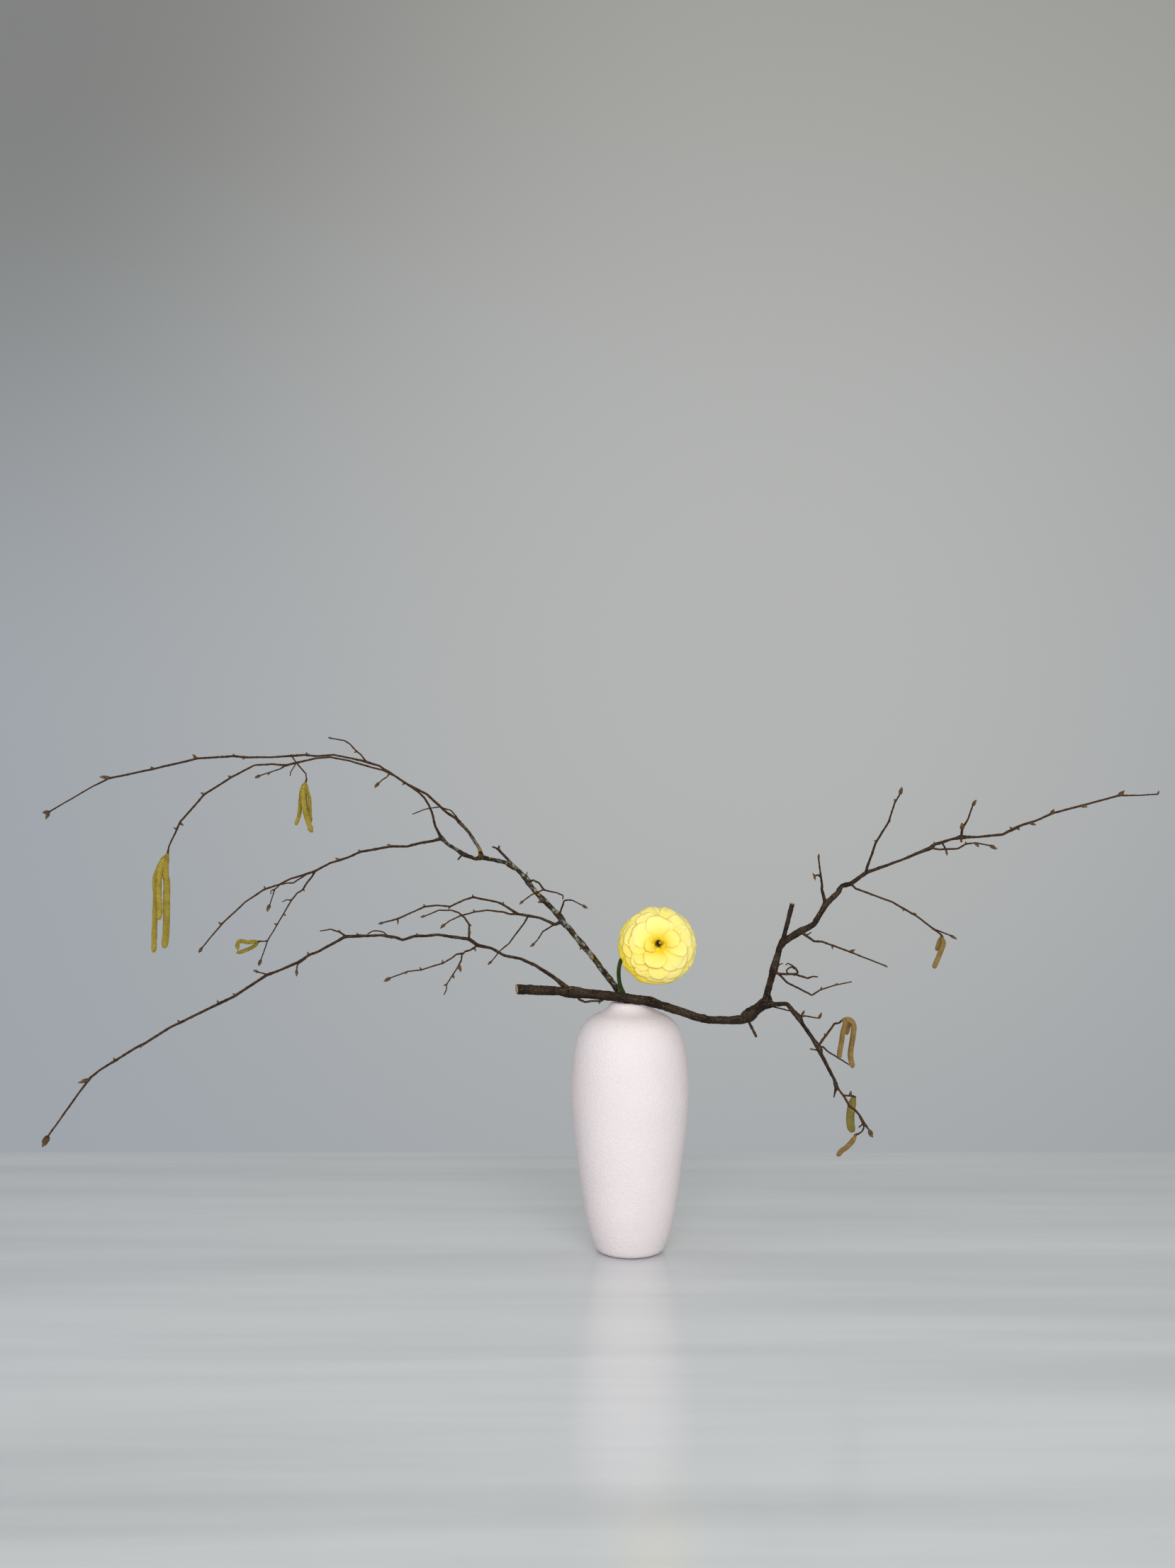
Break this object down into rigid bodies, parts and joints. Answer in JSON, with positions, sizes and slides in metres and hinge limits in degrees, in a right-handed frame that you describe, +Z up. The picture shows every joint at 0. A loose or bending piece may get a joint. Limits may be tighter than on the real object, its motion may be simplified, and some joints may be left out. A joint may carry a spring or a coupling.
{
  "type": "ikebana arrangement in a vase",
  "caption": "Ikebana arrangement: long catkin branches reaching to both sides and a double yellow bloom in a tall round-shouldered ceramic vase.",
  "frame": {"origin": "centre of the vase's foot, on the surface it stands on", "axes": "+Z up, +X along the arrangement's long span to the viewer's right, +Y away from the viewer"},
  "size_m": [0.99, 0.1947, 0.4366],
  "materials": {
    "ceramic": "matte pale ceramic with a fine leathery texture",
    "water": "clear water",
    "bark": "dark brown bark",
    "lichen_bark": "brown bark with grey and ochre lichen",
    "catkin": "soft scaly yellow-green",
    "petal": "thin satin petal",
    "eye": "dark brown flower centre",
    "green_stem": "smooth dark green stem"
  },
  "bodies": {
    "root": {"vase": "ceramic", "water": "water", "branch_low": "bark", "branch_high": "lichen_bark", "catkins_left_long": "catkin", "catkins_left_top": "catkin", "catkins_left_curl": "catkin", "catkins_right_upper": "catkin", "catkins_right_middle": "catkin", "catkins_right_low": "catkin", "catkins_right_tail": "catkin", "flower_petals": "petal", "flower_centre": "eye", "flower_stem": "green_stem"}
  },
  "joints": []
}
